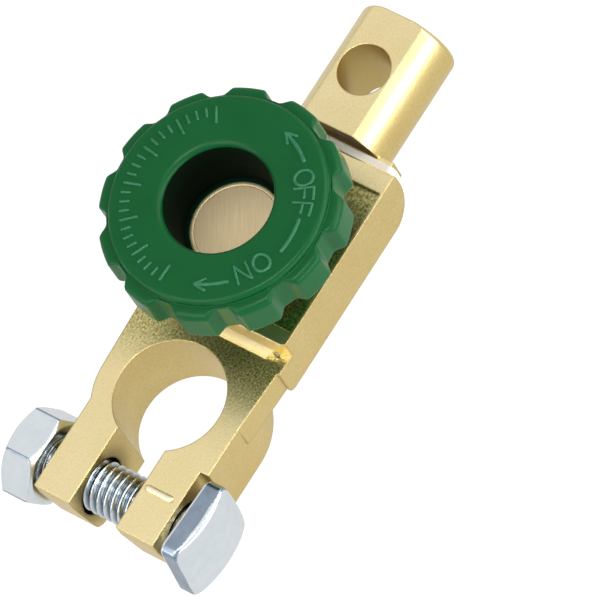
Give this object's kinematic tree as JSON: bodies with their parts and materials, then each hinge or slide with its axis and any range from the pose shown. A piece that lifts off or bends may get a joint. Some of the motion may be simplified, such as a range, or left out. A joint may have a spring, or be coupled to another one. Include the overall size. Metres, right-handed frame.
{
  "type": "battery terminal disconnect switch",
  "caption": "Brass post clamp with a screw-down green knob that lifts a contact stud to open the circuit, an insulated cable bar and a bolt that closes the split ring.",
  "frame": {"origin": "axis of the battery post bore at the underside of the clamp ring", "axes": "+Z along the post bore towards the knob, +X from the bore towards the cable bar, +Y towards the clamp nut"},
  "size_m": [0.0867, 0.0364, 0.0331],
  "materials": {
    "cast_brass": "satin tumbled casting",
    "white_nylon": "matte moulding",
    "turned_brass": "turned and brushed",
    "green_plastic": "gloss moulding",
    "zinc_steel": "bright zinc plate"
  },
  "bodies": {
    "housing": {"clamp_body": "cast_brass", "insulator_tray": "white_nylon", "cable_post": "cast_brass"},
    "carrier": {"contact_washer": "turned_brass"},
    "switch": {"contact_stud": "turned_brass", "knob": "green_plastic"},
    "bolt": {"clamp_bolt": "zinc_steel"},
    "nut": {"clamp_nut": "zinc_steel"}
  },
  "joints": [
    {"name": "contact_lift", "type": "slide", "parent": "housing", "child": "carrier", "axis": [0, 0, 1], "range_m": [0, 0.00439]},
    {"name": "knob_turn", "type": "hinge", "parent": "carrier", "child": "switch", "pos_m": [0.0238, 0, 0.02], "axis": [0, 0, 1], "range_deg": [0, 1260]},
    {"name": "bolt_slide", "type": "slide", "parent": "housing", "child": "bolt", "axis": [0, 1, 0], "range_m": [-0.00252, 0.0013]},
    {"name": "nut_turn", "type": "hinge", "parent": "housing", "child": "nut", "pos_m": [-0.015, 0.0148, 0.0068], "axis": [0, 1, 0], "range_deg": [-360, 720]}
  ],
  "couplings": [
    {"joint": "contact_lift", "follows": "knob_turn", "m_per_rad": 0.00019894},
    {"joint": "bolt_slide", "follows": "nut_turn", "m_per_rad": -0.00019894}
  ]
}
